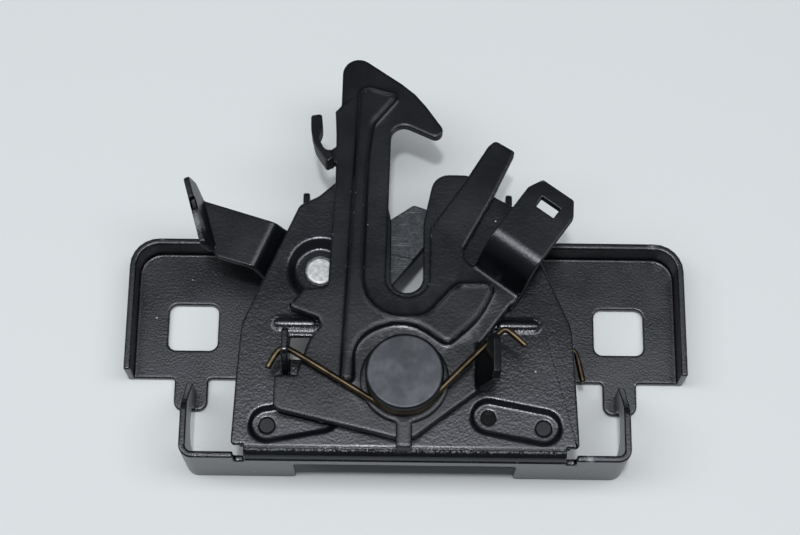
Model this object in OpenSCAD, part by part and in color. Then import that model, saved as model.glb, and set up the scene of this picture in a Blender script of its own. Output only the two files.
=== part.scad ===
// Bonnet latch: a folded latch plate on two mounting brackets, with a safety hook in front of the
// plate and a primary hook and a cable-pulled release lever behind it.
// X runs across the latch, Y towards the tip of the hook and Z out of the mounting face.

/* [Sheet and levels] */
// Thickness of the latch plate and of the brackets
sheet_t = 2; // [1.6:0.1:2.4]
// Height of the latch plate's front face above the mounting face
plate_z = 27; // [25:0.5:32]
// Thickness of the safety hook
safety_t = 3; // [2.4:0.1:3.6]
// Thickness of the primary hook
primary_t = 4; // [3:0.1:5]
// Thickness of the release lever
release_t = 2.6; // [2:0.1:3]
// Play between faces that slide on each other
face_play = 0.1; // [0.05:0.01:0.2]
// Radial play of a bore on its pin
bore_play = 0.05; // [0.02:0.01:0.09]

/* [Latch plate] */
// Half width of the plate at its lower edge
plate_half_w = 51; // [49.5:0.5:54]
// Half width of the plate at its upper corners
plate_top_half_w = 33; // [30:0.5:36]
// Height of the upper corners above the mounting holes
plate_top_y = 31.8; // [28:0.2:34]
// Height of the two guide lobes above the mounting holes
lobe_y = 42.4; // [40:0.2:45]
// Where the lower bend starts, below the mounting holes
bend_y = 43; // [42:0.5:46]
// Outer radius of the lower bend
bend_r = 3.5; // [3:0.1:4.5]
// Width of the striker slot
slot_w = 9.8; // [8:0.1:11]
// Height of the middle of the striker's seat above the mounting holes
seat_y = 9.1; // [8:0.1:11]
// Half distance between the outer faces of the two legs
leg_x = 66.5; // [65:0.5:69]
// Half width of the opening between the two feet
foot_gap_half_w = 33; // [28:0.5:38]
// Depth of the flange between the two feet
short_flange_d = 8; // [6:0.5:12]
// Depth of the round dish and of the two pads
dish_d = 2; // [1.6:0.1:2.4]
// Outer radius of the round dish
dish_r = 10; // [9.4:0.1:11]
// Radius of the flat floor of the dish
dish_floor_r = 7.3; // [6.5:0.1:8]
// Depth of the two capsule-shaped pads
pad_d = 1.5; // [1:0.1:1.8]
// How far the sloping walls of the pads come in
pad_slope = 1.1; // [0.6:0.1:1.4]
// Height of the stiffening beads
bead_h = 1; // [0.6:0.1:1.4]

/* [Brackets] */
// Distance from the middle to a mounting hole
hole_x = 66.4; // [64:0.2:69]
// Width of a mounting hole
hole_w = 15.4; // [12:0.2:16]
// Height of a mounting hole
hole_h = 14.8; // [12:0.2:16]
// Distance from the middle to the outer face of an ear
ear_x = 86; // [82:0.5:90]
// Height of the ear's upper face above the mounting holes
ear_top_y = 26; // [23:0.5:29]
// Depth of the ear's lower edge below the mounting holes
ear_low_y = 16.5; // [13:0.5:18]
// Height of the ear's flange above the mounting face
ear_flange_h = 12; // [8:0.5:16]
// Radius of the ear's outer corner
ear_r = 9; // [5:0.5:14]
// Distance from the middle to the inner face of the bracket's wall
wall_x = 47; // [46:0.2:48]

/* [Pivots] */
// Sideways place of the main stud
stud_x = -0.4; // [-1:0.1:1]
// Depth of the main stud below the mounting holes
stud_y = 24.2; // [23.6:0.1:24.8]
// Diameter of the main stud
stud_d = 12; // [10:0.5:13]
// Diameter of the main stud's head
head_d = 22.8; // [20:0.2:25]
// Thickness of the main stud's head
head_t = 2.2; // [1.6:0.1:4]
// Distance of the release rivet to the left of the middle
rivet_x = 26.2; // [25.8:0.1:26.6]
// Height of the release rivet above the mounting holes
rivet_y = 11.2; // [10.8:0.1:11.6]
// Diameter of the release rivet
rivet_d = 8; // [7:0.2:8.6]
// Thickness of the bush in each lever
bush_t = 2; // [1.2:0.1:2.4]

/* [Springs] */
// Thickness of the spring wire
wire_d = 1.8; // [1.4:0.1:2]
// Radius of the coils to the middle of the wire
coil_r = 10.6; // [10:0.1:11.5]
// Number of full turns in each coil
coil_turns = 2; // [1:1:3]

/* [Safety hook] */
// How far the raised panel stands out
panel_h = 1.6; // [1:0.1:2]
// How far its sloping sides come in
panel_slope = 1.8; // [1:0.1:2]
// Height of the release handle above the hook's front face
handle_rise = 10.5; // [8:0.5:14]
// Length of the release handle from its root
handle_len = 31; // [25:0.5:37]
// Width of the release handle
handle_w = 16.4; // [13:0.2:17]
// Height of the spring flange above the hook's front face
flange_h = 13.5; // [11:0.5:16]

/* [Hidden] */
$fn = 64;

// Largest turn between two points of a rounded corner, in degrees
arc_step = 15;
// The same on wide sheet bends that face the light
bend_step = 6;
// Overlap where one form runs into another of the same piece
merge = 0.5;
// Overlap where a flat runs into a bend of the same piece
kiss = 0.05;
// Thicknesses of the washers on the main stud
thrust_t = 1.4;
seat_t = 1.2;
back_washer_t = 1;
end_washer_t = 1.1;

stud = [stud_x, -stud_y];
rivet = [-rivet_x, rivet_y];
stud_r = stud_d / 2;
rivet_r = rivet_d / 2;
wire_r = wire_d / 2;

// Levels in front of the plate
plate_back = plate_z - sheet_t;
safety_z = plate_z + thrust_t + face_play;
safety_front = safety_z + safety_t;
seat_z = safety_front + face_play;
seat_front = seat_z + seat_t;
coil_pitch = wire_d + 0.05;
coil_h = wire_d + (coil_turns + 0.5) * coil_pitch;
head_z = seat_front + coil_h + 2 * face_play;

// Levels behind the plate
primary_front = plate_back - back_washer_t - face_play;
primary_z = primary_front - primary_t;
collar_top = primary_z - face_play;
collar_z = collar_top - coil_h - 2 * face_play;
end_washer_z = collar_z - end_washer_t;
stud_end_t = 2.4;
dish_back = plate_back - dish_d;
release_front = dish_back - 3 * face_play;
release_z = release_front - release_t;
release_washer_t = 1.1;
rivet_end_t = 1.9;

// Folds of the latch plate
flange_y = -bend_y - bend_r;
bend_half_w = plate_half_w - 3.7;
leg_bend_r = 4;
wing_z = plate_z - sheet_t;

// Pads with a clinched rivet at the outer end and a jig hole at the inner end
pad_outer = [40.6, -36.8];
pad_inner = [24.4, -33.7];
pad_r = 5.4;
clinch_r = 2.2;
jig_r = 2;
lap_z = plate_back - pad_d;

// Stiffening beads beside the levers
bead_inner = [28.4, -5.8];
bead_outer = [38, -5.8];
bead_half_w = 2.1;

// The lanced tab that anchors the safety spring and stops the safety hook
anchor_x = -36.5;
anchor_low_y = -22.4;
anchor_top_y = -10.4;
anchor_wire = [-15.6, seat_front + wire_d];

// Where the safety spring's legs leave its coil
left_turn = 237.8;
right_turn = 316.2;
safety_coil_start = seat_front + wire_r + face_play;
safety_coil_end = safety_coil_start + coil_pitch * (coil_turns + (right_turn - left_turn) / 360);

// The safety spring's flange and handle on the safety hook
flange_x = 21.6;
flange_lean = 20;
hook_tab_rise = 4.5;
// How far the safety hook reaches below the stud
hook_low = 17.4;
handle_root = [25.45, 7.6];
handle_turn = 54;
handle_sink = 0.15;
handle_shift = 1.7;

// Unit vector along v
function unit(v) = v / norm(v);

// Points of the arc that rounds the corner b, an [x, y, radius], between a and c
function corner(a, b, c, step) =
    let (p = [b.x, b.y])
    let (u = unit([a.x, a.y] - p))
    let (w = unit([c.x, c.y] - p))
    let (half = acos(u * w) / 2)
    let (mid = p + unit(u + w) * b.z / sin(half))
    let (first = p + u * b.z / tan(half) - mid)
    let (last = p + w * b.z / tan(half) - mid)
    let (start = atan2(first.y, first.x))
    let (sweep = atan2(first.x * last.y - first.y * last.x, first * last))
    let (n = max(2, round(abs(sweep) / step + 0.4)))
    [for (i = [0:n]) mid + b.z * [cos(start + sweep * i / n), sin(start + sweep * i / n)]];

// Outline through corners given as [x, y, radius], with each corner rounded
function outline(v, step = arc_step) = [
    for (i = [0:len(v) - 1])
        let (a = v[(i + len(v) - 1) % len(v)])
        let (c = v[(i + 1) % len(v)])
        each (v[i].z > 0 ? corner(a, v[i], c, step) : [[v[i].x, v[i].y]])
];

// The corners v and the same corners mirrored to the other side, as one outline
function both_sides(v) = concat(v, [for (i = [len(v) - 1:-1:0]) [-v[i].x, v[i].y, v[i].z]]);

// The corners v with each edge moved by d to its left
function inset(v, d) = [
    for (i = [0:len(v) - 1])
        let (b = [v[i].x, v[i].y])
        let (a = v[(i + len(v) - 1) % len(v)])
        let (c = v[(i + 1) % len(v)])
        let (u = unit(b - [a.x, a.y]))
        let (w = unit([c.x, c.y] - b))
        let (shift = d * [-u.y - w.y, u.x + w.x] / (1 + u * w))
        [b.x + shift.x, b.y + shift.y, max(0.4, v[i].z - d * sign(u.x * w.y - u.y * w.x))]
];

// The corners v moved by o
function moved(v, o) = [for (p = v) [p.x + o.x, p.y + o.y, p.z]];

// Sheet in the XY plane with its back face at z
module slab(v, z, t) {
    translate([0, 0, z]) linear_extrude(t) polygon(outline(v));
}

// Sheet in the YZ plane from x towards +X
module wall_yz(v, x, t) {
    translate([x, 0, 0]) rotate([90, 0, 90]) linear_extrude(t) polygon(outline(v));
}

// Sheet in the XZ plane from y towards +Y
module wall_xz(v, y, t) {
    translate([0, y + t, 0]) rotate([90, 0, 0]) linear_extrude(t) polygon(outline(v));
}

// Panel raised by h over level z, whose sides sweep up in a soft S while they come in by run;
// v runs clockwise
module raised(v, z, h, run) {
    sweep = [[0, -2 * kiss], [0.35 * run, 0.2 * h], [0.65 * run, 0.8 * h], [run, h], [run + merge / 2, -merge]];
    rings = len(sweep);
    n = len(outline(v));
    points = [for (s = sweep, p = outline(inset(v, -s.x))) [p.x, p.y, z + s.y]];
    sides = [
        for (i = [0:n - 1], ring = [0:rings - 1])
            let (k = (i + 1) % n)
            let (a = ring * n)
            let (b = (ring + 1) % rings * n)
            [a + i, a + k, b + k, b + i]
    ];
    polyhedron(points, sides);
    slab(inset(v, 3 * kiss - run), z - merge / 2, h + merge / 2);
}

// Disc or bore on the Z axis through a point
module disc(at, r, z, t) {
    translate([at.x, at.y, z]) cylinder(r = r, h = t);
}

// Ring on the Z axis through a point
module ring(at, r_out, r_in, z, t) {
    difference() {
        disc(at, r_out, z, t);
        disc(at, r_in, z - merge, t + 2 * merge);
    }
}

// Capsule between two points
module capsule(a, b, r, z, t) {
    along = unit(b - a);
    across = r * [-along.y, along.x];
    disc(a, r, z, t);
    disc(b, r, z, t);
    translate([0, 0, z]) linear_extrude(t) polygon([a + across, a - across, b - across, b + across]);
}

// Unit vectors of a ring of wire at point i of a path
function along(path, i) = unit(path[min(i + 1, len(path) - 1)] - path[max(i - 1, 0)]);
function across(d) = unit(cross(abs(d.z) > 0.9 ? [1, 0, 0] : [0, 0, 1], d));

// Round wire swept along a path
module wire(path, r) {
    sides = 8;
    last = len(path) - 1;
    points = [
        for (i = [0:last])
            let (d = along(path, i))
            let (u = across(d))
            let (w = cross(d, u))
            for (k = [0:sides - 1])
                path[i] + r * (u * cos(360 * k / sides) + w * sin(360 * k / sides))
    ];
    walls = [
        for (i = [0:last - 1], k = [0:sides - 1])
            let (n = (k + 1) % sides)
            [i * sides + k, (i + 1) * sides + k, (i + 1) * sides + n, i * sides + n]
    ];
    first_cap = [for (k = [0:sides - 1]) k];
    last_cap = [for (k = [sides - 1:-1:0]) last * sides + k];
    polyhedron(points, concat(walls, [first_cap, last_cap]));
}

// Turns of a coil about the main stud from angle a to angle b, rising from height z
function turns(a, b, z) =
    let (rise = coil_pitch * abs(b - a) / 360)
    let (n = ceil(abs(b - a) / arc_step))
    [
        for (i = [0:n])
            let (t = a + (b - a) * i / n)
            [stud.x + coil_r * cos(t), stud.y + coil_r * sin(t), z + rise * i / n]
    ];

// The folded latch plate

plate_side = [
    [bend_half_w, -bend_y - merge, 0],
    [bend_half_w, -bend_y + 0.2, 0],
    [plate_half_w, -bend_y, 1.2],
    [plate_half_w - 0.8, -22, 40],
    [plate_half_w - 1.6, -6.5, 9],
    [plate_top_half_w, plate_top_y, 2.5],
    [27, plate_top_y + 3.2, 6],
    [19, lobe_y, 5],
    [8.2, lobe_y, 5.4],
    [slot_w / 2, 27, 12],
    [slot_w / 2, seat_y, 0]
];

flange_half = [
    [foot_gap_half_w, wing_z - short_flange_d, 2],
    [foot_gap_half_w, 0, 2],
    [leg_x - leg_bend_r + kiss, 0, 0],
    [leg_x - leg_bend_r + kiss, wing_z, 0],
    [plate_half_w - 0.6, wing_z, 0.6],
    [plate_half_w - 0.6, wing_z - 5, 0.8],
    [bend_half_w, wing_z - 5, 0.8],
    [bend_half_w, plate_z - bend_r + merge / 5, 0]
];

leg_side = [
    [flange_y + leg_bend_r - kiss, 0, 0],
    [flange_y + leg_bend_r - kiss, wing_z, 0],
    [-30, wing_z, 4],
    [-20.5, wing_z - 13, 2],
    [-20.5, sheet_t, 0],
    [-26.2, sheet_t, 1],
    [-28, 13, 5],
    [-38, 13, 6],
    [-40.5, 0, 2]
];

anchor_side = [
    [anchor_low_y, plate_back, 0],
    [anchor_low_y, plate_z + 3, 2],
    [-18.4, seat_front + 4.6, 1.5],
    [-17.4, seat_front + 5.6, 1],
    [anchor_top_y, seat_front + 5.6, 1.2],
    [anchor_top_y, plate_back, 0]
];

stub_side = [[30, plate_back + merge, 0], [36.8, plate_back + merge, 1.4], [36.8, 15, 2], [30, 15, 2]];

module plate_face() {
    translate([0, 0, plate_back]) linear_extrude(sheet_t) difference() {
        polygon(outline(both_sides(plate_side)));
        translate([0, seat_y]) circle(slot_w / 2);
    }
}

module dish() {
    translate([rivet.x, rivet.y, 0]) rotate_extrude() polygon([
        [rivet_r + bore_play, dish_back],
        [dish_floor_r, dish_back],
        [dish_r + 0.2, plate_back],
        [dish_r + 0.2, plate_z],
        [dish_r, plate_z],
        [dish_floor_r, dish_back + sheet_t],
        [rivet_r + bore_play, dish_back + sheet_t]
    ]);
}

module lower_bend() {
    translate([-bend_half_w, -bend_y, plate_z - bend_r]) rotate([90, 0, 90])
        linear_extrude(2 * bend_half_w) difference() {
            intersection() {
                circle(bend_r);
                translate([-bend_r, 0]) square(bend_r);
            }
            circle(bend_r - sheet_t);
        }
}

module leg(side) {
    mirror([side < 0 ? 1 : 0, 0, 0]) {
        wall_yz(leg_side, leg_x - sheet_t, sheet_t);
        translate([leg_x - leg_bend_r, flange_y + leg_bend_r, 0])
            rotate_extrude(angle = 90, start = 270)
                translate([leg_bend_r - sheet_t, 0]) square([sheet_t, wing_z]);
    }
}

// One side's sunk pad: its body below the plate, and the space that its sloping wall encloses
module pad_body(side) {
    mirror([side < 0 ? 1 : 0, 0, 0]) capsule(pad_inner, pad_outer, pad_r + 1, lap_z, pad_d + merge);
}

module pad_space(side) {
    reach = merge * pad_slope / pad_d;
    mirror([side < 0 ? 1 : 0, 0, 0]) hull() for (at = [pad_inner, pad_outer])
        translate([at.x, at.y, plate_z - pad_d])
            cylinder(r1 = pad_r - pad_slope, r2 = pad_r + reach, h = pad_d + merge, $fn = 32);
}

// One side's stiffening bead: a round-topped rib, and the groove behind it
module bead_rib(side) {
    r = (bead_half_w * bead_half_w + bead_h * bead_h) / (2 * bead_h);
    run = bead_outer.x - bead_inner.x;
    profile = concat(
        [for (t = [-90:arc_step:0]) r * [cos(t), sin(t)]],
        [for (t = [0:arc_step:90]) [r * cos(t), run + r * sin(t)]]
    );
    mirror([side < 0 ? 1 : 0, 0, 0]) translate([bead_inner.x, bead_inner.y, plate_z]) intersection() {
        translate([0, 0, bead_h - r]) rotate([0, 90, 0]) rotate_extrude() polygon(profile);
        translate([-r, -r, -merge]) cube([run + 2 * r, 2 * r, 2 * r]);
    }
}

module bead_groove(side) {
    mirror([side < 0 ? 1 : 0, 0, 0])
        capsule(bead_inner, bead_outer, bead_half_w - 0.9, plate_back - merge, bead_h + merge);
}

module latch_plate() {
    color("#3a3c40") difference() {
        union() {
            difference() {
                plate_face();
                disc(rivet, dish_r, plate_back - merge, sheet_t + 2 * merge);
            }
            dish();
            lower_bend();
            wall_xz(both_sides(flange_half), flange_y, sheet_t);
            difference() {
                wall_yz(anchor_side, anchor_x, sheet_t);
                translate([anchor_x - merge, anchor_wire.x, anchor_wire.y]) rotate([0, 90, 0])
                    cylinder(r = wire_r + 0.4, h = sheet_t + 2 * merge);
            }
            for (side = [-1, 1]) {
                leg(side);
                pad_body(side);
                bead_rib(side);
                mirror([side < 0 ? 1 : 0, 0, 0]) wall_yz(stub_side, plate_top_half_w - 3, sheet_t);
            }
        }
        for (side = [-1, 1]) {
            pad_space(side);
            bead_groove(side);
            disc([side * pad_outer.x, pad_outer.y], clinch_r + bore_play, lap_z - merge, sheet_t + 2 * merge);
            disc([side * pad_inner.x, pad_inner.y], jig_r, lap_z - merge, sheet_t + 2 * merge);
        }
        disc(stud, stud_r + bore_play, plate_back - merge, sheet_t + 2 * merge);
        translate([anchor_x + sheet_t, -17, plate_back - merge]) cube([9, 7, sheet_t + 2 * merge]);
    }
}

// The mounting brackets

ear_outline = [
    [wall_x, -ear_low_y, 0],
    [61, -ear_low_y, 1],
    [61, -26.7, 3],
    [71.4, -26.7, 3],
    [71.4, -ear_low_y, 1],
    [ear_x, -ear_low_y, 0],
    [ear_x, ear_top_y, ear_r],
    [36, ear_top_y, 0],
    [36, 4, 4],
    [wall_x, -7, 3]
];

ear_flange = [
    [36, ear_top_y, 0],
    [36, ear_top_y - sheet_t, 0],
    [ear_x - sheet_t, ear_top_y - sheet_t, ear_r - sheet_t],
    [ear_x - sheet_t, -ear_low_y, 0],
    [ear_x, -ear_low_y, 0],
    [ear_x, ear_top_y, ear_r]
];

hole_outline = [
    [hole_x - hole_w / 2, -hole_h / 2, 2.6],
    [hole_x + hole_w / 2, -hole_h / 2, 2.6],
    [hole_x + hole_w / 2, hole_h / 2, 2.6],
    [hole_x - hole_w / 2, hole_h / 2, 2.6]
];

bracket_wall = [
    [-ear_low_y, 0, 0],
    [-7, 0, 0],
    [-7, 9, 2],
    [-11.5, 11, 1.5],
    [-11.5, lap_z, 1.5],
    [-42, lap_z, 0],
    [-42, lap_z - 6, 3],
    [-24, lap_z - 11, 6]
];

lap_outline = [
    [wall_x + merge, -42, 0],
    [wall_x + merge, -25, 0],
    [36, -25, 5],
    [18.5, -27.5, 4],
    [17, -37, 5],
    [26, -42, 5]
];

module bracket(side) {
    color("#3a3c40") mirror([side < 0 ? 1 : 0, 0, 0]) difference() {
        union() {
            slab(ear_outline, 0, sheet_t);
            slab(ear_flange, 0, ear_flange_h);
            wall_yz(bracket_wall, wall_x, sheet_t);
            slab(lap_outline, lap_z - sheet_t, sheet_t);
        }
        slab(hole_outline, -merge, sheet_t + 2 * merge);
        disc(pad_outer, clinch_r + bore_play, lap_z - sheet_t - merge, sheet_t + 2 * merge);
        disc(pad_inner, jig_r, lap_z - sheet_t - merge, sheet_t + 2 * merge);
    }
}

module left_bracket() {
    bracket(-1);
}

module right_bracket() {
    bracket(1);
}

module clinch_rivets() {
    color("#4a4c50") for (side = [-1, 1]) {
        at = [side * pad_outer.x, pad_outer.y];
        disc(at, clinch_r, lap_z - sheet_t, 2 * sheet_t - 0.1);
        disc(at, clinch_r + 1.4, lap_z - sheet_t - 1.2, 1.2);
    }
}

// The main stud with what it carries

module main_stud() {
    edge = 0.6;
    end_z = end_washer_z - stud_end_t;
    color("#5d6066") translate([stud.x, stud.y, 0]) rotate_extrude() polygon([
        [0, end_z],
        [stud_r + 2, end_z],
        [stud_r + 2.8, end_z + 0.8],
        [stud_r + 2.8, end_washer_z],
        [stud_r, end_washer_z],
        [stud_r, seat_front],
        [coil_r - wire_d, seat_front],
        [coil_r - wire_d, head_z],
        [head_d / 2, head_z],
        [head_d / 2, head_z + head_t - edge],
        [head_d / 2 - edge, head_z + head_t],
        [0, head_z + head_t]
    ]);
}

module thrust_washer() {
    color("#8a8c90") ring(stud, stud_r + 6, stud_r + bore_play, plate_z, thrust_t);
}

module spring_seat() {
    tail_w = 4.7;
    tail_y = stud.y - hook_low - 3;
    step_t = 1.2;
    color("#2c2e32") difference() {
        union() {
            disc(stud, coil_r + 2.5, seat_z, seat_t);
            translate([stud.x - tail_w / 2, tail_y, seat_z]) cube([tail_w, stud.y - tail_y, seat_t]);
            translate([stud.x - tail_w / 2, tail_y, plate_z])
                cube([tail_w, step_t, seat_front - plate_z]);
        }
        disc(stud, stud_r + bore_play, seat_z - merge, seat_t + 2 * merge);
    }
}

module retaining_washer() {
    color("#8a8c90") ring(stud, stud_r + 5, stud_r + bore_play, end_washer_z, end_washer_t);
}

module spring_collar() {
    color("#8a8c90")
        ring(stud, coil_r - wire_d, stud_r + bore_play, collar_z, collar_top - collar_z);
}

module primary_washer() {
    color("#8a8c90") ring(stud, stud_r + 5, stud_r + bore_play, plate_back - back_washer_t, back_washer_t);
}

// The springs

module safety_spring() {
    low = safety_coil_start;
    high = safety_coil_end;
    coil = turns(left_turn, right_turn + 360 * coil_turns, low);
    left_leg = [
        [-40.4, -21.8, low + 0.6],
        [-38.6, -18.2, low + 0.8],
        [-37.2, -16.2, anchor_wire.y],
        [anchor_x + sheet_t / 2, anchor_wire.x, anchor_wire.y],
        [-33.6, -16.3, anchor_wire.y],
        [-20, -24.7, low + 0.3]
    ];
    right_leg = [
        [18, -20.1, high],
        [27.4, -10.9, high],
        [28.8, -10.2, high],
        [30.4, -11, high],
        [34.9, -15.3, high]
    ];
    color("#8f7444") wire(concat(left_leg, coil, right_leg), wire_r);
}

module primary_spring() {
    low = collar_z + wire_r + face_play;
    wall_turn = -58;
    hook_turn = -234.4;
    shank_x = stud.x + 20.6;
    coil = turns(wall_turn, hook_turn - 360 * coil_turns, low);
    high = coil[len(coil) - 1].z;
    wall_leg = [
        [wall_x + sheet_t + 4.6, -19.4, low],
        [wall_x + sheet_t + 3, -10.6, low],
        [wall_x + sheet_t + 2, -9.4, low],
        [wall_x - 2, -9.6, low],
        [16, -27.7, low]
    ];
    hook_leg = [
        [8.6, -6.8, high],
        [shank_x, 3.4, high],
        [shank_x + 1.2, 4.3, high + 1],
        [shank_x + 1.2, 4.4, primary_z + 3]
    ];
    color("#8f7444") wire(concat(wall_leg, coil, hook_leg), wire_r);
}

// The safety hook

hook_outline = moved([
    [-20, 107.3, 5],
    [2.7, 91.7, 30],
    [15.4, 73.7, 2.3],
    [-4.8, 82.9, 4],
    [-5.4, 56.2, 60],
    [-6.2, 25.7, 6.5],
    [7.1, 25.7, 6.5],
    [7.3, 47.8, 4],
    [17.7, 62.6, 40],
    [24.8, 74.2, 2],
    [27, 76.2, 1.5],
    [32.9, 72.6, 1],
    [32.6, 71.3, 1],
    [26.2, 57.7, 40],
    [17.3, 41.2, 1.5],
    [17.7, 38, 1],
    [19.2, 36.3, 0],
    [33.7, 26.3, 0],
    [29.8, 21.7, 20],
    [flange_x + 0.4, 11.1, 0],
    [flange_x + 0.4, -2.6, 0],
    [10.4, -11.4, 20],
    [2.9, -hook_low + 0.2, 5],
    [-2.2, -hook_low, 5],
    [-8, -15.9, 20],
    [-36.9, -9.2, 1.6],
    [-38.3, -7.8, 1.2],
    [-38.2, 1.2, 0.8],
    [-31.5, 1.2, 0.5],
    [-31.5, 2.6, 1],
    [-28, 12.8, 6],
    [-24.8, 16.8, 1],
    [-25.6, 18.9, 1],
    [-34.1, 22, 0.8],
    [-34.4, 23, 0.8],
    [-30.2, 27.8, 1.5],
    [-23.1, 28.8, 2],
    [-22.2, 52.2, 40],
    [-21.6, 62, 20],
    [-21.7, 77.6, 0],
    [-22.1, 85.1, 0.8],
    [-20.3, 87.3, 1]
], stud);

panel_outline = moved([
    [-15.6, 95.4, 4],
    [-0.6, 91.2, 2.6],
    [-9.6, 80.4, 6],
    [-11, 69, 40],
    [-12, 20.4, 10.5],
    [5.4, 20.4, 7],
    [14.6, 30.8, 5],
    [28.8, 30.8, 3],
    [22.8, 18.6, 20],
    [12.6, 9.4, 3],
    [0, 18.4, 13.5],
    [-14.4, 12, 9],
    [-14.2, -1.6, 2],
    [-19.6, -1.9, 2]
], stud);

// The release handle: a strip that steps forward from its root and runs on level
handle_profile = [
    [-4, safety_z + handle_sink, 0],
    [1.6, safety_z + handle_sink, 3.5],
    [7.6, safety_z + handle_rise, 6],
    [handle_len, safety_z + handle_rise, 0],
    [handle_len, safety_front + handle_rise, 0],
    [5.9, safety_front + handle_rise, 9],
    [0, safety_front - handle_sink, 1.5],
    [-4, safety_front - handle_sink, 0]
];

handle_plan = [
    [-4, handle_w / 2, 0],
    [-4, -handle_w / 2, 0],
    [handle_len - 4.5, -handle_w / 2, 1.5],
    [handle_len, 3 - handle_w / 2, 1.5],
    [handle_len, handle_w / 2 - 2.2, 1.5],
    [handle_len - 4.5, handle_w / 2, 1.5]
];

wire_h = (safety_coil_end - safety_front) / cos(flange_lean);
spring_flange = [
    [-26.8, -1, 0],
    [-26.8, flange_h - 1.5, 1.5],
    [-24.5, flange_h, 1],
    [-13, flange_h, 2.2],
    [-13, wire_h + wire_r + 0.8, 0.6],
    [-17.6, wire_h + wire_r + 0.8, 1.2],
    [-17.6, wire_h - wire_r - 0.8, 1.2],
    [-13, wire_h - wire_r - 0.8, 0.6],
    [-13, -1, 0]
];

hook_tab = [
    [-29.8, 57.6, 1],
    [-26.4, 58.4, 1],
    [-26.2, 54, 4],
    [-27.4, 50.6, 3],
    [-25.4, 46.6, 2],
    [-23.4, 46.4, 0.5],
    [-22.6, 43.6, 0.5],
    [-24.8, 42.4, 0.8],
    [-28.4, 47.8, 6],
    [-29.6, 52.6, 6]
];

module release_handle() {
    translate([handle_root.x, handle_root.y, 0]) rotate([0, 0, handle_turn])
    translate([0, -handle_shift, 0]) difference() {
        intersection() {
            translate([0, handle_w / 2, 0]) rotate([90, 0, 0])
                linear_extrude(handle_w) polygon(outline(handle_profile, bend_step));
            slab(handle_plan, safety_z - merge, safety_t + handle_rise + 2 * merge);
        }
        translate([handle_len - 8.2, -3.5, safety_z + handle_rise - merge])
            cube([3.6, 6.6, safety_t + 2 * merge]);
    }
}

module side_tab() {
    neck = [[-25.6, 47, 0], [-20.5, 50.4, 0], [-20.5, 44.2, 0], [-24.6, 43.4, 0]];
    slab(neck, safety_z, safety_t);
    slab(hook_tab, safety_z, safety_t + hook_tab_rise);
}

module safety_hook() {
    bore = stud_r + bush_t + bore_play / 2;
    color("#2b2d31") difference() {
        union() {
            slab(hook_outline, safety_z, safety_t);
            raised(panel_outline, safety_front, panel_h, panel_slope);
            release_handle();
            translate([flange_x, 0, safety_front]) rotate([0, flange_lean, 0])
                wall_yz(spring_flange, -1.2, 2.4);
            side_tab();
        }
        slab(inset(panel_outline, -panel_slope), safety_z - merge, panel_h + merge);
        disc(stud, bore, safety_z - merge, safety_t + 2 * merge);
    }
}

module safety_bush() {
    color("#9a8458") ring(stud, stud_r + bush_t, stud_r + bore_play, safety_z, safety_t);
}

// The primary hook

primary_outline = moved([
    [-7.2, 8.4, 0],
    [-8.7, 15, 1.5],
    [-6, 18.7, 2],
    [4.4, 19.7, 6],
    [9.6, 25.2, 6],
    [9.6, 48.9, 1.4],
    [-6.2, 29.2, 1.2],
    [-9.1, 38.2, 4],
    [-9, 49.9, 3],
    [2.3, 57.7, 1.5],
    [9.4, 55.2, 6],
    [17.4, 49.2, 8],
    [20.4, 34.2, 20],
    [17.9, 16.2, 30],
    [10.4, 2, 0],
    [0, 0, 0]
], stud);

// Coined step on the front of the beak
beak_step = moved([[-14, 43, 0], [-4.6, 41.6, 4], [8, 39, 0], [8, 22, 0], [-14, 22, 0]], stud);
beak_step_d = 0.6;

module primary_hook() {
    color("#77797c") difference() {
        union() {
            slab(primary_outline, primary_z, primary_t);
            disc(stud, stud_r + 5, primary_z, primary_t);
        }
        disc(stud, stud_r + bush_t + bore_play / 2, primary_z - merge, primary_t + 2 * merge);
        slab(beak_step, primary_front - beak_step_d, beak_step_d + merge);
    }
}

module primary_bush() {
    color("#9a8458") ring(stud, stud_r + bush_t, stud_r + bore_play, primary_z, primary_t);
}

// The release lever

// Direction square to the plate's slanting left edge, and how far out the edge and the step lie
edge_turn = 180 - atan2(plate_half_w - 1.6 - plate_top_half_w, plate_top_y + 6.5);
step_low = 15.1;
step_run = 3.5;
step_rise = 4.9;
cable_flange_h = 10.5;
cable_flange_lean = 13;

release_plan = moved([
    [-38.4, 22.2, 0],
    [-14.5, 14.9, 10],
    [-3, 12, 8],
    [7.5, 8, 8],
    [15, -18, 10],
    [18, -25, 1.8],
    [13.6, -26.4, 2],
    [2, -12.5, 12],
    [-12, -5, 10],
    [-19.2, 0.1, 8],
    [-31.2, 3.5, 1],
    [-34.4, 8.8, 2]
], rivet);

release_profile = [
    [-40, release_z, 0],
    [step_low + 1.3, release_z, 1],
    [step_low + step_run + 1.3, release_z + step_rise, 2.5],
    [60, release_z + step_rise, 0],
    [60, release_front + step_rise, 0],
    [step_low + step_run, release_front + step_rise, 3],
    [step_low, release_front, 1],
    [-40, release_front, 0]
];

cable_flange = [
    [-7.5, -1.5, 0],
    [-11, 2, 1],
    [-11, cable_flange_h, 1.5],
    [0.6, cable_flange_h, 0.4],
    [0.6, cable_flange_h - 1.5, 0.8],
    [4.4, cable_flange_h - 1.5, 0.8],
    [4.4, cable_flange_h, 0.4],
    [11.5, cable_flange_h, 1.5],
    [11.5, 3, 1],
    [7, -1.5, 0]
];

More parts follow.
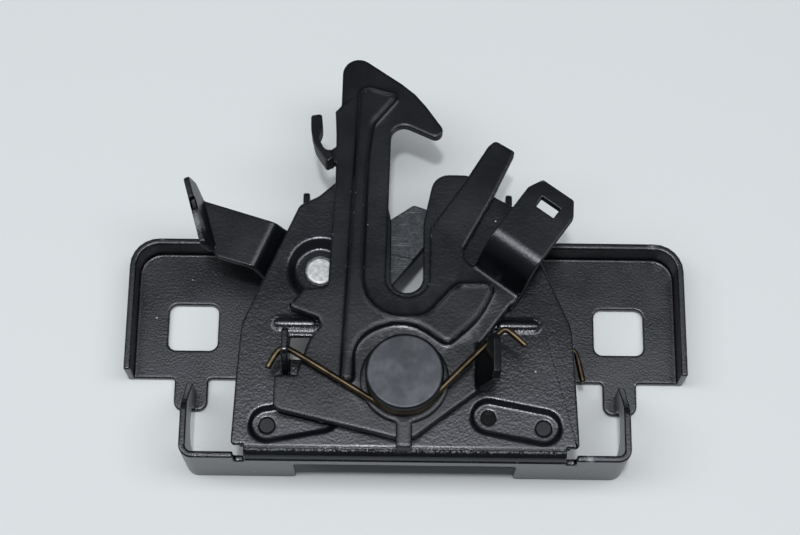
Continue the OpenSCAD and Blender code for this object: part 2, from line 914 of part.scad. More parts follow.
module release_lever() {
    color("#2b2d31") difference() {
        union() {
            intersection() {
                slab(release_plan, release_z - merge, release_t + step_rise + 2 * merge);
                translate([rivet.x, rivet.y, 0]) rotate([0, 0, edge_turn])
                    translate([0, 60, 0]) rotate([90, 0, 0])
                        linear_extrude(120) polygon(outline(release_profile, bend_step));
            }
            translate([-61.4, 26.2, release_front + step_rise]) rotate([0, 0, 16.2])
                rotate([0, -cable_flange_lean, 0]) wall_yz(cable_flange, -0.9, 1.8);
        }
        disc(rivet, rivet_r + 1.5 + bore_play / 2, release_z - merge, release_t + 2 * merge);
    }
}

module release_bush() {
    color("#9a8458") ring(rivet, rivet_r + 1.5, rivet_r + bore_play, release_z, release_t);
}

module release_washer() {
    color("#8a8c90")
        ring(rivet, rivet_r + 4, rivet_r + bore_play, release_z - face_play - release_washer_t,
             release_washer_t);
}

module release_rivet() {
    low = release_z - face_play - release_washer_t;
    top = dish_back + sheet_t;
    color("#b9bcc0") translate([rivet.x, rivet.y, 0]) rotate_extrude() polygon([
        [0, low - rivet_end_t],
        [rivet_r + 2, low - rivet_end_t],
        [rivet_r + 3, low - rivet_end_t + 1],
        [rivet_r + 3, low],
        [rivet_r, low],
        [rivet_r, top],
        [rivet_r + 0.5, top],
        [rivet_r + 0.5, top + 0.6],
        [rivet_r, top + 1.1],
        [0, top + 1.1]
    ]);
}

latch_plate();
left_bracket();
right_bracket();
clinch_rivets();
main_stud();
thrust_washer();
spring_seat();
safety_spring();
safety_hook();
safety_bush();
primary_hook();
primary_bush();
primary_washer();
primary_spring();
spring_collar();
retaining_washer();
release_rivet();
release_washer();
release_lever();
release_bush();
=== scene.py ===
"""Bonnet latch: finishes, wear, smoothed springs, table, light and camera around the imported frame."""

from __future__ import annotations

import logging
import math
from dataclasses import dataclass
from enum import Enum
from typing import Any, ClassVar

import bpy
from mathutils import Matrix, Vector

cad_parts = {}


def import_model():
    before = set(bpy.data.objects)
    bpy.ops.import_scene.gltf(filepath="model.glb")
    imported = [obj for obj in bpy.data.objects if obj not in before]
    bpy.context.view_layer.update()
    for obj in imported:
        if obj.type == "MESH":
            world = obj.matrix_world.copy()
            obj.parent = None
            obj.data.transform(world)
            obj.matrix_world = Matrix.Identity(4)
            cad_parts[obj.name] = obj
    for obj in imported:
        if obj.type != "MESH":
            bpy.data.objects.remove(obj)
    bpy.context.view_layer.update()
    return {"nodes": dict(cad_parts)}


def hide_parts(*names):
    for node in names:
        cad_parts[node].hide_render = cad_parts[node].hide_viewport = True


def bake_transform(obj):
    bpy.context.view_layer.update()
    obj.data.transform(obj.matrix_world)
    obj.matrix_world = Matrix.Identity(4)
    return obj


LOG = logging.getLogger("bonnet_latch")
MM = 0.001
# Points closer than this belong to one seam
SEAM = 0.001 * MM
# Rays per point for edges that are rounded in the material
PAINT_EDGE_RAYS = 8
METAL_EDGE_RAYS = 6


def srgb(hex_code: str) -> tuple[float, float, float, float]:
    """Turn an sRGB hex code into a linear colour.

    Args:
        hex_code: Six hexadecimal digits with a leading hash.

    Returns:
        The linear red, green, blue and an alpha of one.
    """
    channels = [int(hex_code[i : i + 2], 16) / 255 for i in (1, 3, 5)]
    linear = [c / 12.92 if c <= 0.04045 else ((c + 0.055) / 1.055) ** 2.4 for c in channels]
    return (linear[0], linear[1], linear[2], 1.0)


def per_mm(size_mm: float) -> float:
    """Give the texture scale whose features are about size_mm across."""
    return 1.0 / (size_mm * MM)


class Nodes:
    """A node tree that is built up step by step."""

    def __init__(self, tree: bpy.types.NodeTree) -> None:
        """Hold the tree.

        Args:
            tree: The node tree of a material or a world.
        """
        self.tree = tree

    def feed(self, node: bpy.types.Node, **inputs: Any) -> None:
        """Link or set inputs of a node.

        Args:
            node: The node.
            inputs: Values, sockets or nodes, which give their first output. The key is the input's
                name with underscores for spaces, or an underscore and the input's number.
        """
        for key, value in inputs.items():
            socket = node.inputs[int(key[1:]) if key[0] == "_" else key.replace("_", " ")]
            if isinstance(value, bpy.types.Node):
                value = value.outputs[0]
            if isinstance(value, bpy.types.NodeSocket):
                self.tree.links.new(value, socket)
            else:
                socket.default_value = value

    def add(self, kind: str, settings: dict[str, Any] | None = None, **inputs: Any) -> bpy.types.Node:
        """Add one node.

        Args:
            kind: The node's class name.
            settings: Attributes of the node.
            inputs: What its inputs get, as for feed.

        Returns:
            The new node.
        """
        node = self.tree.nodes.new(kind)
        for key, value in (settings or {}).items():
            setattr(node, key, value)
        self.feed(node, **inputs)
        return node


class Surface(Nodes):
    """A material with a principled shader and patterns that follow the object's own coordinates."""

    def __init__(self, name: str) -> None:
        """Start the material.

        Args:
            name: The material's name.
        """
        self.material = bpy.data.materials.new(name)
        self.material.use_nodes = True
        super().__init__(self.material.node_tree)
        self.shader = self.tree.nodes["Principled BSDF"]
        self.at = self.add("ShaderNodeTexCoord").outputs["Object"]


@dataclass(frozen=True)
class BareSpotAndHighlight:
    """Where knocks or handling have taken the paint off, about a point or along a line; the band on the
    lower bend is also a painted highlight.

    The line runs along the axis whose share of the distance is zero, and the paint goes where a
    fine noise is above the start.
    """

    centre_mm: tuple[float, float, float]
    reach_mm: float
    axes: tuple[float, float, float] = (1.0, 1.0, 1.0)
    start: float = 0.2


@dataclass(frozen=True)
class SoftBand:
    """The height of softly swept forms, with their wider radius."""

    level_mm: float
    half_mm: float
    radius_mm: float
    # Over this height the radius goes back to that of other edges
    fade_mm: float = 0.3


@dataclass(frozen=True)
class PressedPaint:
    """Black electro-coat on pressed steel.

    The coat flows into a pebble while it cures, which breaks highlights into sparkles, and it is
    thin on edges, where handling rubs through to grey steel. Blanked edges stay rough and dull.
    A pale band along the plate's lower bend is painted highlight as well as rubbed paint.
    """

    name: str
    colour: str
    cloud: str
    roughness: float
    # Size and height of the pebble, coarser than the real one so that it shows
    pebble_mm: float
    pebble_depth_mm: float
    edge_mm: float
    # Share of the edges that is rubbed through, and how rough the blanked edges are
    rubbed: float
    blanked_roughness: float
    ior: float = 1.5
    soft: SoftBand | None = None
    bare_and_highlight: tuple[BareSpotAndHighlight, ...] = ()
    sheen: str = "#f3f6ff"
    # Pale steel of rubbed edges and knocked-off spots, also the colour of the painted highlight along the
    # lower bend
    rub_and_highlight_colour: str = "#8a8d90"
    dust_colour: str = "#b9bdc0"
    # Sizes of clouds in the coat, of rubbed patches and of the ragged rim of knocked-off spots and of the
    # painted highlight band
    cloud_mm: float = 24.0
    patch_mm: float = 2.2
    ragged_mm: float = 0.6
    # Distance between specks of dust
    dust_spacing_mm: float = 5.5

    # Noise from the darker to the lighter coat, and from the glossier to the duller
    CLOUD_SPAN: ClassVar[tuple[float, float]] = (0.35, 0.7)
    GLOSS_SPAN: ClassVar[tuple[float, float]] = (0.3, 0.7)
    # How far the roughness goes under and over its mean
    GLOSS_DROP: ClassVar[float] = 0.04
    GLOSS_RISE: ClassVar[float] = 0.06
    # Cosine between face and rounded edge where the rubbing starts and where it is full
    EDGE_TURN: ClassVar[tuple[float, float]] = (0.98, 0.88)
    # Noise over which rubbed patches, knocked-off spots and the painted highlight band fade
    PATCH_FADE: ClassVar[float] = 0.06
    RAGGED_FADE: ClassVar[float] = 0.5
    # Rim and core of a speck as shares of the spacing, and the draw above which a cell has one
    SPECK: ClassVar[tuple[float, float]] = (0.06, 0.035)
    SPECK_DRAW: ClassVar[float] = 0.7
    # How upright a face's normal is, from a blanked edge to the sheet's own face
    BLANKED_SPAN: ClassVar[tuple[float, float]] = (0.1, 0.4)

    def edges(self, s: Surface) -> bpy.types.Node:
        """Round the edges, more softly about the level of the swept forms.

        Args:
            s: The material.

        Returns:
            The node of the rounded normal.
        """
        radius: Any = self.edge_mm * MM
        if self.soft:
            height = s.add("ShaderNodeSeparateXYZ", Vector=s.at).outputs["Z"]
            above = s.add(
                "ShaderNodeMath", {"operation": "SUBTRACT"}, _0=height, _1=self.soft.level_mm * MM
            )
            radius = s.add(
                "ShaderNodeMapRange",
                Value=s.add("ShaderNodeMath", {"operation": "ABSOLUTE"}, _0=above),
                From_Min=self.soft.half_mm * MM,
                From_Max=(self.soft.half_mm + self.soft.fade_mm) * MM,
                To_Min=self.soft.radius_mm * MM,
                To_Max=self.edge_mm * MM,
            )
        return s.add("ShaderNodeBevel", {"samples": PAINT_EDGE_RAYS}, Radius=radius)

    def rub(self, s: Surface, edge: bpy.types.Node) -> bpy.types.Node:
        """Find where edges are rubbed through and paint is knocked off, and where a highlight is painted
        along the lower bend.

        Args:
            s: The material.
            edge: The node of the rounded normal.

        Returns:
            The node of a factor that is one on steel where the paint is off and on the painted highlight.
        """
        face = s.add("ShaderNodeNewGeometry").outputs["True Normal"]
        turned = s.add("ShaderNodeVectorMath", {"operation": "DOT_PRODUCT"}, _0=edge, _1=face)
        near = s.add(
            "ShaderNodeMapRange",
            Value=turned.outputs["Value"],
            From_Min=self.EDGE_TURN[0],
            From_Max=self.EDGE_TURN[1],
        )
        patch = s.add(
            "ShaderNodeTexNoise", Vector=s.at, Scale=per_mm(self.patch_mm), Detail=4.0, Roughness=0.7
        )
        level = 1.0 - self.rubbed
        thin = s.add("ShaderNodeMapRange", Value=patch, From_Min=level, From_Max=level + self.PATCH_FADE)
        worn = s.add("ShaderNodeMath", {"operation": "MULTIPLY"}, _0=near, _1=thin)
        # Knocked-off spots, and the highlight painted along the lower bend
        for spot in self.bare_and_highlight:
            worn = self.knock(s, spot, worn)
        return worn

    def knock(self, s: Surface, spot: BareSpotAndHighlight, worn: bpy.types.Node) -> bpy.types.Node:
        """Add one spot with a ragged rim: knocked-off paint, which on the lower bend is also a painted
        highlight.

        Args:
            s: The material.
            spot: The spot.
            worn: The node of the other spots' factor.

        Returns:
            The node of the factor with the spot added.
        """
        ragged = s.add(
            "ShaderNodeTexNoise", Vector=s.at, Scale=per_mm(self.ragged_mm), Detail=3.0, Roughness=0.7
        )
        reach = s.add(
            "ShaderNodeMapRange",
            Value=ragged,
            From_Min=spot.start,
            From_Max=spot.start + self.RAGGED_FADE,
            To_Min=0.0,
            To_Max=2 * spot.reach_mm * MM,
        )
        shared = s.add("ShaderNodeVectorMath", {"operation": "MULTIPLY"}, _0=s.at, _1=spot.axes)
        centre = Vector(spot.centre_mm) * Vector(spot.axes) * MM
        away = s.add("ShaderNodeVectorMath", {"operation": "DISTANCE"}, _0=shared, _1=centre)
        inside = s.add("ShaderNodeMapRange", Value=away.outputs["Value"], From_Min=reach, From_Max=0.0)
        return s.add("ShaderNodeMath", {"operation": "MAXIMUM"}, _0=inside, _1=worn)

    def dust(self, s: Surface) -> bpy.types.Node:
        """Scatter a few pale specks.

        Args:
            s: The material.

        Returns:
            The node of a factor that is one on specks.
        """
        cells = s.add("ShaderNodeTexVoronoi", Vector=s.at, Scale=per_mm(self.dust_spacing_mm))
        near = s.add(
            "ShaderNodeMapRange",
            Value=cells.outputs["Distance"],
            From_Min=self.SPECK[0],
            From_Max=self.SPECK[1],
        )
        draw = s.add("ShaderNodeSeparateColor", Color=cells.outputs["Color"]).outputs["Red"]
        chosen = s.add("ShaderNodeMath", {"operation": "GREATER_THAN"}, _0=draw, _1=self.SPECK_DRAW)
        return s.add("ShaderNodeMath", {"operation": "MULTIPLY"}, _0=near, _1=chosen)

    def gloss(self, s: Surface, cloud: bpy.types.Node) -> bpy.types.Node:
        """Vary the roughness with the clouds, and dull the blanked edges.

        Args:
            s: The material.
            cloud: The node of the clouds' noise.

        Returns:
            The node of the roughness.
        """
        coat = s.add(
            "ShaderNodeMapRange",
            Value=cloud,
            From_Min=self.GLOSS_SPAN[0],
            From_Max=self.GLOSS_SPAN[1],
            To_Min=self.roughness - self.GLOSS_DROP,
            To_Max=self.roughness + self.GLOSS_RISE,
        )
        face = s.add("ShaderNodeNewGeometry").outputs["True Normal"]
        rise = s.add("ShaderNodeSeparateXYZ", Vector=face).outputs["Z"]
        blanked = s.add(
            "ShaderNodeMapRange",
            Value=s.add("ShaderNodeMath", {"operation": "ABSOLUTE"}, _0=rise),
            From_Min=self.BLANKED_SPAN[0],
            From_Max=self.BLANKED_SPAN[1],
            To_Min=self.blanked_roughness,
            To_Max=0.0,
        )
        return s.add("ShaderNodeMath", {"operation": "MAXIMUM"}, _0=coat, _1=blanked)

    def make(self) -> bpy.types.Material:
        """Build the material.

        Returns:
            The finished material.
        """
        s = Surface(self.name)
        edge = self.edges(s)
        pebble = s.add(
            "ShaderNodeTexNoise", Vector=s.at, Scale=per_mm(self.pebble_mm), Detail=1.0, Roughness=0.4
        )
        cloud = s.add(
            "ShaderNodeTexNoise", Vector=s.at, Scale=per_mm(self.cloud_mm), Detail=3.0, Roughness=0.6
        )
        bump = s.add(
            "ShaderNodeBump",
            Strength=1.0,
            Distance=self.pebble_depth_mm * MM,
            Height=pebble,
            Normal=edge,
        )
        low, high = self.CLOUD_SPAN
        colour: Any = srgb(self.colour)
        for share, over in (
            (s.add("ShaderNodeMapRange", Value=cloud, From_Min=low, From_Max=high), self.cloud),
            # Rubbed edges and knocked-off spots, with the highlight painted along the lower bend
            (self.rub(s, edge), self.rub_and_highlight_colour),
            (self.dust(s), self.dust_colour),
        ):
            layer = s.add("ShaderNodeMix", {"data_type": "RGBA"}, _0=share, _6=colour, _7=srgb(over))
            colour = layer.outputs[2]
        s.feed(s.shader, Base_Color=colour, Roughness=self.gloss(s, cloud), Normal=bump)
        s.feed(s.shader, Specular_Tint=srgb(self.sheen), IOR=self.ior)
        return s.material


@dataclass(frozen=True)
class TurnedSteel:
    """Steel faced on a lathe and blackened: faint rings that stretch the highlight to a bow tie."""

    name: str
    colour: str
    groove: str
    roughness: float
    ring_mm: float
    # A point on the upright axis of the lathe
    axis_mm: tuple[float, float, float]
    edge_mm: float
    stain_mm: float = 4.0
    anisotropy: float = 0.3

    # Rings of the wave pattern in one unit of its scale, and how much they show in the stain
    RINGS_PER_UNIT: ClassVar[float] = 20.0
    RING_SHARE: ClassVar[float] = 0.025
    # Noise from the groove's colour to the ridge's
    STAIN_SPAN: ClassVar[tuple[float, float]] = (0.4, 0.7)

    def make(self) -> bpy.types.Material:
        """Build the material.

        Returns:
            The finished material.
        """
        s = Surface(self.name)
        centre = Vector(self.axis_mm) * MM
        rings = s.add(
            "ShaderNodeTexWave",
            {"wave_type": "RINGS", "rings_direction": "Z"},
            Vector=s.add("ShaderNodeVectorMath", {"operation": "SUBTRACT"}, _0=s.at, _1=centre),
            Scale=per_mm(self.ring_mm) / self.RINGS_PER_UNIT,
            Distortion=2.5,
            Detail=3.0,
            Detail_Scale=2.0,
        )
        stain = s.add("ShaderNodeTexNoise", Vector=s.at, Scale=per_mm(self.stain_mm), Detail=4.0)
        shade = s.add(
            "ShaderNodeMath",
            {"operation": "MULTIPLY_ADD"},
            _0=rings.outputs["Fac"],
            _1=self.RING_SHARE,
            _2=stain,
        )
        low, high = self.STAIN_SPAN
        share = s.add("ShaderNodeMapRange", Value=shade, From_Min=low, From_Max=high)
        colour = s.add(
            "ShaderNodeMix", {"data_type": "RGBA"}, _0=share, _6=srgb(self.groove), _7=srgb(self.colour)
        )
        edge = s.add("ShaderNodeBevel", {"samples": METAL_EDGE_RAYS}, Radius=self.edge_mm * MM)
        around = s.add("ShaderNodeTangent", {"direction_type": "RADIAL", "axis": "Z"})
        s.feed(s.shader, Base_Color=colour.outputs[2], Metallic=1.0, Roughness=self.roughness)
        s.feed(s.shader, Normal=edge, Anisotropic=self.anisotropy, Tangent=around)
        return s.material


@dataclass(frozen=True)
class PlainMetal:
    """Metal with an even finish and a little staining, such as plating, phosphate or drawn wire."""

    name: str
    colour: str
    stain: str
    roughness: float
    stain_mm: float = 5.0
    edge_mm: float = 0.3
    # Colour of scratches, where the metal has them, with their length, width and slant
    scratch: str | None = None
    scratch_mm: tuple[float, float] = (8.0, 0.3)
    slant_deg: float = -25.0

    # Noise from the stain's colour to the metal's, and from sound metal to a scratch
    STAIN_SPAN: ClassVar[tuple[float, float]] = (0.38, 0.62)
    SCRATCH_SPAN: ClassVar[tuple[float, float]] = (0.62, 0.75)

    def scratches(self, s: Surface) -> bpy.types.Node:
        """Draw fine slanting scratches.

        Args:
            s: The material.

        Returns:
            The node of a factor that is one on scratches.
        """
        length, width = (per_mm(size) for size in self.scratch_mm)
        slant = s.add(
            "ShaderNodeMapping",
            Vector=s.at,
            Rotation=(0.0, 0.0, math.radians(self.slant_deg)),
            Scale=(length, width, length),
        )
        lines = s.add("ShaderNodeTexNoise", Vector=slant, Scale=1.0, Detail=2.0)
        low, high = self.SCRATCH_SPAN
        return s.add("ShaderNodeMapRange", Value=lines, From_Min=low, From_Max=high)

    def make(self) -> bpy.types.Material:
        """Build the material.

        Returns:
            The finished material.
        """
        s = Surface(self.name)
        noise = s.add(
            "ShaderNodeTexNoise", Vector=s.at, Scale=per_mm(self.stain_mm), Detail=5.0, Roughness=0.6
        )
        low, high = self.STAIN_SPAN
        layers = [(s.add("ShaderNodeMapRange", Value=noise, From_Min=low, From_Max=high), self.colour)]
        if self.scratch:
            layers.append((self.scratches(s), self.scratch))
        colour: Any = srgb(self.stain)
        for share, over in layers:
            layer = s.add("ShaderNodeMix", {"data_type": "RGBA"}, _0=share, _6=colour, _7=srgb(over))
            colour = layer.outputs[2]
        edge = s.add("ShaderNodeBevel", {"samples": METAL_EDGE_RAYS}, Radius=self.edge_mm * MM)
        s.feed(s.shader, Base_Color=colour, Metallic=1.0, Roughness=self.roughness, Normal=edge)
        return s.material


class Finish(Enum):
    """Every finish on the latch."""

    # Thick dipped coat on the folded plate: a coarse pebble that sparkles under the strip light
    PLATE = PressedPaint(
        name="electro_coat_pebbled",
        colour="#090a0d",
        cloud="#0f1115",
        roughness=0.2,
        pebble_mm=0.72,
        pebble_depth_mm=0.042,
        edge_mm=0.9,
        rubbed=0.4,
        blanked_roughness=0.3,
        ior=1.58,
        # A pale band along the top of the lower bend, painted highlight as well as rubbed paint; the kink
        # of the right leg and two spots beside the bend
        bare_and_highlight=(
            BareSpotAndHighlight((0.0, -44.3, 26.8), 1.1, (0.0, 1.0, 1.0), 0.46),
            BareSpotAndHighlight((66.9, -27.7, 25.0), 1.3),
            BareSpotAndHighlight((54.1, -45.8, 25.0), 1.3),
            BareSpotAndHighlight((-48.1, -46.8, 25.0), 1.0),
        ),
    )
    # The same coat with a finer pebble: a duller sparkle on the brackets
    BRACKET = PressedPaint(
        name="electro_coat_fine",
        colour="#090a0d",
        cloud="#101216",
        roughness=0.26,
        pebble_mm=0.62,
        pebble_depth_mm=0.044,
        edge_mm=0.9,
        rubbed=0.42,
        blanked_roughness=0.3,
        ior=1.58,
        # The upper edges of the ears
        bare_and_highlight=(BareSpotAndHighlight((76.5, 24.9, 13.0), 1.6), BareSpotAndHighlight((-76.0, 26.0, 13.0), 1.2)),
    )
    # A thinner coat with a low pebble: satin levers with soft light along their swept panel
    LEVER = PressedPaint(
        name="electro_coat_satin",
        colour="#0a0b0e",
        cloud="#101215",
        roughness=0.23,
        pebble_mm=0.8,
        pebble_depth_mm=0.03,
        edge_mm=0.5,
        rubbed=0.36,
        blanked_roughness=0.55,
        soft=SoftBand(level_mm=32.5, half_mm=0.9, radius_mm=1.9),
        # The notch that the cable has worn bright
        bare_and_highlight=(BareSpotAndHighlight((-62.5, 22.4, 36.5), 2.4, start=0.1),),
    )
    # Coat that ran together on the clinched rivets: matt and nearly black
    CLINCH = PressedPaint(
        name="electro_coat_pooled",
        colour="#07080a",
        cloud="#0b0c0e",
        roughness=0.5,
        pebble_mm=0.8,
        pebble_depth_mm=0.02,
        edge_mm=0.3,
        rubbed=0.3,
        blanked_roughness=0.5,
        ior=1.4,
    )
    # Lathe-faced stud head: dark grey with a soft highlight across it
    STUD = TurnedSteel(
        name="turned_steel_dark",
        colour="#47494d",
        groove="#393b3f",
        roughness=0.42,
        ring_mm=0.3,
        axis_mm=(-0.4, -24.2, 0.0),
        edge_mm=0.4,
    )
    # Zinc on a headed rivet: pale and finely mottled
    RIVET = PlainMetal("zinc_plated_rivet", "#b3b5b6", "#8f9293", 0.45, stain_mm=1.3)
    # Drawn wire, oil-tempered: brownish grey with a sharp line of light
    WIRE = PlainMetal("oil_tempered_wire", "#5a4f3f", "#3a3329", 0.38)
    # Phosphate on hardened steel: dull grey with bright scratches from the striker
    HOOK = PlainMetal("phosphated_steel", "#434649", "#313437", 0.5, stain_mm=0.9, scratch="#7d8184")
    # Zinc on stamped washers: plain grey and half bright
    WASHER = PlainMetal("zinc_plated_steel", "#8d9092", "#6f7274", 0.4)
    # Sintered bronze: a warm dull ring in each lever's bore
    BUSH = PlainMetal("bearing_bronze", "#9b8557", "#7b6741", 0.4)


class Faces(Enum):
    """What happens to a node's flat faces before its edges are broken."""

    JOINED = "joined"
    AS_CUT = "as cut"


class PaintShop:
    """Makes each finish once."""

    def __init__(self) -> None:
        """Start with no finish made."""
        self.made: dict[Finish, bpy.types.Material] = {}

    def material(self, finish: Finish) -> bpy.types.Material:
        """Give the material of a finish.

        Args:
            finish: The finish.

        Returns:
            The material, made on first use.
        """
        if finish not in self.made:
            self.made[finish] = finish.value.make()
        return self.made[finish]


def join_seams(piece: bpy.types.Object) -> None:
    """Close the seams between a piece's faces."""
    piece.modifiers.new("joined_seams", "WELD").merge_threshold = SEAM


def join_faces(piece: bpy.types.Object, angle_deg: float) -> None:
    """Join a piece's faces that lie in one plane.

    Args:
        piece: The piece.
        angle_deg: How far the faces may turn.
    """
    flat = piece.modifiers.new("whole_faces", "DECIMATE")
    flat.decimate_type = "DISSOLVE"
    flat.angle_limit = math.radians(angle_deg)


@dataclass(frozen=True)
class BendingSpring:
    """A torsion spring between the frame and its lever, made as a smoothed round wire in place of its CAD
    node.
    """

    node: str
    lever: str
    # Heights between which the coil passes from the still leg to the moving one
    still_mm: float
    moving_mm: float
    # What the smoothed wire gets back of the section that smoothing takes
    regain_mm: float = 0.14
    blunt_mm: float = 0.15
    blunt_from_deg: float = 60.0
    flat_deg: float = 1.0
    smooth_steps: int = 2

    def smooth(self, wire: bpy.types.Object) -> None:
        """Turn the flat sides of drawn wire into a round section with blunt ends.

        Args:
            wire: The object whose mesh is replaced by the smooth one.
        """
        join_seams(wire)
        join_faces(wire, self.flat_deg)
        stack = wire.modifiers
        blunt = stack.new("blunt_ends", "BEVEL")
        blunt.width = self.blunt_mm * MM
        blunt.segments = 1
        blunt.limit_method = "ANGLE"
        blunt.angle_limit = math.radians(self.blunt_from_deg)
        stack.new("round_section", "SUBSURF").levels = self.smooth_steps
        full = stack.new("full_section", "DISPLACE")
        full.strength = self.regain_mm * MM
        full.mid_level = 0.0
        shaped = wire.evaluated_get(bpy.context.evaluated_depsgraph_get())
        wire.data = bpy.data.meshes.new_from_object(shaped)
        stack.clear()
        wire.data.shade_smooth()

    def build(self, nodes: dict[str, bpy.types.Object], material: bpy.types.Material) -> None:
        """Make the spring in place of its CAD node.

        Args:
            nodes: The CAD nodes by name.
            material: The finish of the wire.
        """
        source = nodes[self.node]
        wire = bpy.data.objects.new(f"{self.node}_wire", source.data.copy())
        bpy.context.scene.collection.objects.link(wire)
        wire.matrix_world = source.matrix_world
        self.smooth(wire)
        wire.data.materials.clear()
        wire.data.materials.append(material)
        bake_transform(wire)
        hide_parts(self.node)
        LOG.info("%s: %d faces, bends with %s", wire.name, len(wire.data.polygons), self.lever)


@dataclass
class SubAssembly:
    """CAD nodes that belong together, with the finishes and broken edges that they get."""

    nodes: dict[str, bpy.types.Object]
    shop: PaintShop

    # Faces that turn less are joined, and edges that turn more are broken
    FLAT_DEG: ClassVar[float] = 0.5
    SHARP_DEG: ClassVar[float] = 35.0
    EDGE_STEPS: ClassVar[int] = 3

    def coat(self, finish: Finish, *names: str) -> None:
        """Give nodes one finish.

        Args:
            finish: The finish.
            names: The nodes that get it.
        """
        material = self.shop.material(finish)
        for name in names:
            mesh = self.nodes[name].data
            mesh.materials.clear()
            mesh.materials.append(material)
            LOG.info("%s: %s", name, material.name)

    def break_edges(self, radius_mm: float, *names: str, faces: Faces = Faces.JOINED) -> None:
        """Break the sharp edges of nodes, as tumbling and paint do.

        Args:
            radius_mm: The radius of the edges.
            names: The nodes whose edges are broken.
            faces: What happens to flat faces first.
        """
        for name in names:
            piece = self.nodes[name]
            join_seams(piece)
            if faces is Faces.JOINED:
                join_faces(piece, self.FLAT_DEG)
            bevel = piece.modifiers.new("broken_edges", "BEVEL")
            bevel.width = radius_mm * MM
            bevel.segments = self.EDGE_STEPS
            bevel.limit_method = "ANGLE"
            bevel.angle_limit = math.radians(self.SHARP_DEG)
            bevel.use_clamp_overlap = False
            bevel.face_strength_mode = "FSTR_ALL"
            shading = piece.modifiers.new("even_shading", "WEIGHTED_NORMAL")
            shading.keep_sharp = False
            shading.use_face_influence = True

    def dress(self) -> None:
        """Give every piece its finish."""
        raise NotImplementedError

    def build(self) -> None:
        """Make the meshes that go beyond the CAD nodes."""
        raise NotImplementedError


@dataclass
class PressedBody(SubAssembly):
    """The fixed sheet parts: plate, brackets and the clinched rivets that hold them together."""

    edge_mm: float = 0.5

    def dress(self) -> None:
        """Paint the sheet parts and their rivets."""
        self.coat(Finish.PLATE, "latch_plate")
        self.coat(Finish.BRACKET, "left_bracket", "right_bracket")
        self.coat(Finish.CLINCH, "clinch_rivets")

    def build(self) -> None:
        """Break the edges of the sheet parts."""
        self.break_edges(self.edge_mm, "latch_plate", "left_bracket", "right_bracket")


@dataclass
class MainPivot(SubAssembly):
    """The main stud with the washers and the collar that keep both hooks apart."""

    edge_mm: float = 0.4

    def dress(self) -> None:
        """Blacken the stud, paint the spring seat and plate the washers."""
        self.coat(Finish.STUD, "main_stud")
        self.coat(Finish.LEVER, "spring_seat")
        self.coat(Finish.WASHER, "thrust_washer", "primary_washer", "spring_collar", "retaining_washer")

    def build(self) -> None:
        """Break the edges of the stud and the spring seat."""
        self.break_edges(self.edge_mm, "main_stud", "spring_seat")


@dataclass
class SafetyHook(SubAssembly):
    """The safety hook in front of the plate, with its bush and the front spring."""

    edge_mm: float = 0.25
    spring: BendingSpring = BendingSpring("safety_spring", "safety_hook", still_mm=35.6, moving_mm=37.0)

    def dress(self) -> None:
        """Paint the hook and finish its bush and spring."""
        self.coat(Finish.LEVER, "safety_hook")
        self.coat(Finish.BUSH, "safety_bush")
        self.coat(Finish.WIRE, "safety_spring")

    def build(self) -> None:
        """Make the front spring and break the hook's edges."""
        self.spring.build(self.nodes, self.shop.material(Finish.WIRE))
        self.break_edges(self.edge_mm, "safety_hook", faces=Faces.AS_CUT)


@dataclass
class PrimaryHook(SubAssembly):
    """The primary hook behind the slot, with its bush and the rear spring."""

    edge_mm: float = 0.4
    spring: BendingSpring = BendingSpring("primary_spring", "primary_hook", still_mm=15.3, moving_mm=17.8)

    def dress(self) -> None:
        """Phosphate the hook and finish its bush and spring."""
        self.coat(Finish.HOOK, "primary_hook")
        self.coat(Finish.BUSH, "primary_bush")
        self.coat(Finish.WIRE, "primary_spring")

    def build(self) -> None:
        """Make the rear spring and break the hook's edges."""
        self.spring.build(self.nodes, self.shop.material(Finish.WIRE))
        self.break_edges(self.edge_mm, "primary_hook")


@dataclass
class ReleaseLever(SubAssembly):
    """The release lever that the cable pulls, on the rivet in the plate's dish."""

    edge_mm: float = 0.4

    def dress(self) -> None:
        """Paint the lever and finish its rivet, washer and bush."""
        self.coat(Finish.LEVER, "release_lever")
        self.coat(Finish.RIVET, "release_rivet")
        self.coat(Finish.WASHER, "release_washer")
        self.coat(Finish.BUSH, "release_bush")

    def build(self) -> None:
        """Break the edges of the lever and its rivet."""
        self.break_edges(self.edge_mm, "release_lever", "release_rivet")


@dataclass(frozen=True)
class SoftBox:
    """A rectangular lamp, with places and sizes in metres and its power in watts."""

    name: str
    at: tuple[float, float, float]
    target: tuple[float, float, float]
    size: tuple[float, float]
    power: float

    def hang(self) -> None:
        """Hang the lamp so that it faces its target."""
        data = bpy.data.lights.new(self.name, "AREA")
        data.shape = "RECTANGLE"
        data.size, data.size_y = self.size
        data.energy = self.power
        lamp = bpy.data.objects.new(self.name, data)
        lamp.location = self.at
        facing = Vector(self.target) - Vector(self.at)
        lamp.rotation_euler = facing.to_track_quat("-Z", "Y").to_euler()
        bpy.context.scene.collection.objects.link(lamp)


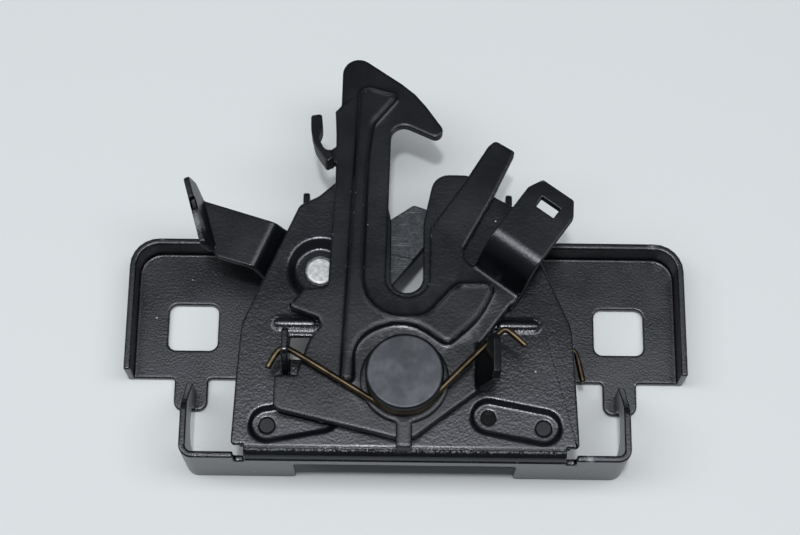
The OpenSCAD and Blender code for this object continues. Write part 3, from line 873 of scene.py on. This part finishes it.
@dataclass(frozen=True)
class Studio:
    """Pale table, a long strip light overhead in a dim room, and the camera of the photo."""

    table_colour: str = "#d9dee0"
    table_roughness: float = 0.55
    table_m: float = 6.0
    # The table lies this far under the feet
    table_gap_mm: float = 0.05
    focal_px: float = 1780.0
    image_w_px: float = 800.0
    sensor_mm: float = 36.0
    tilt_deg: float = 18.8
    roll_deg: float = 0.7
    camera_mm: tuple[float, float, float] = (-2.11, -160.81, 534.89)
    room_colour: str = "#eef3fb"
    # Height of a direction from the wall's foot to the ceiling, and how bright the room is there
    room_heights: tuple[float, float] = (0.1, 0.95)
    room_levels: tuple[float, float] = (0.05, 0.2)
    # The strip fills the upward faces evenly, and the small key draws the shadows
    lamps: tuple[SoftBox, ...] = (
        SoftBox("overhead", (-0.2, 0.04, 1.4), (-0.2, 0.04, 0.0), (3.0, 0.44), 18.2),
        SoftBox("key", (-0.03, -0.13, 1.4), (0.0, 0.0, 0.0), (0.08, 0.08), 5.5),
    )

    def table(self) -> None:
        """Lay the plain table that the latch lies on."""
        bpy.ops.mesh.primitive_plane_add(size=self.table_m, location=(0, 0, -self.table_gap_mm * MM))
        table = bpy.context.object
        table.name = "table"
        surface = Surface("pale_laminate_table")
        surface.feed(surface.shader, Base_Color=srgb(self.table_colour), Roughness=self.table_roughness)
        table.data.materials.append(surface.material)

    def light(self) -> None:
        """Light the scene from the lamps and a dim room that is brighter towards the ceiling."""
        world = bpy.data.worlds.new("dim_room")
        world.use_nodes = True
        room = Nodes(world.node_tree)
        direction = room.add("ShaderNodeTexCoord").outputs["Generated"]
        level = room.add(
            "ShaderNodeMapRange",
            Value=room.add("ShaderNodeSeparateXYZ", Vector=direction).outputs["Z"],
            From_Min=self.room_heights[0],
            From_Max=self.room_heights[1],
            To_Min=self.room_levels[0],
            To_Max=self.room_levels[1],
        )
        room.feed(room.tree.nodes["Background"], Color=srgb(self.room_colour), Strength=level)
        bpy.context.scene.world = world
        for lamp in self.lamps:
            lamp.hang()

    def camera(self) -> None:
        """Stand the camera where the photo was taken from."""
        tilt, roll = math.radians(self.tilt_deg), math.radians(self.roll_deg)
        forward = Vector((0.0, math.sin(tilt), -math.cos(tilt)))
        right = Vector((1.0, 0.0, 0.0))
        up = right.cross(forward)
        right, up = (
            right * math.cos(roll) + up * math.sin(roll),
            up * math.cos(roll) - right * math.sin(roll),
        )
        data = bpy.data.cameras.new("photo_camera")
        data.sensor_fit = "HORIZONTAL"
        data.sensor_width = self.sensor_mm
        data.lens = self.sensor_mm * self.focal_px / self.image_w_px
        camera = bpy.data.objects.new("photo_camera", data)
        turn = Matrix((right, up, -forward)).transposed().to_4x4()
        camera.matrix_world = Matrix.Translation(Vector(self.camera_mm) * MM) @ turn
        bpy.context.scene.collection.objects.link(camera)
        bpy.context.scene.camera = camera

    def build(self) -> None:
        """Set up the table, the light, the camera and plain colour."""
        self.table()
        self.light()
        self.camera()
        bpy.context.scene.view_settings.view_transform = "Standard"


def main() -> None:
    """Load the frame, dress and build each sub-assembly, and set the stage."""
    logging.basicConfig(level=logging.INFO, format="%(message)s")
    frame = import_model()
    shop = PaintShop()
    for kind in (PressedBody, MainPivot, SafetyHook, PrimaryHook, ReleaseLever):
        part = kind(frame["nodes"], shop)
        part.dress()
        part.build()
    Studio().build()


if __name__ == "__main__":
    main()
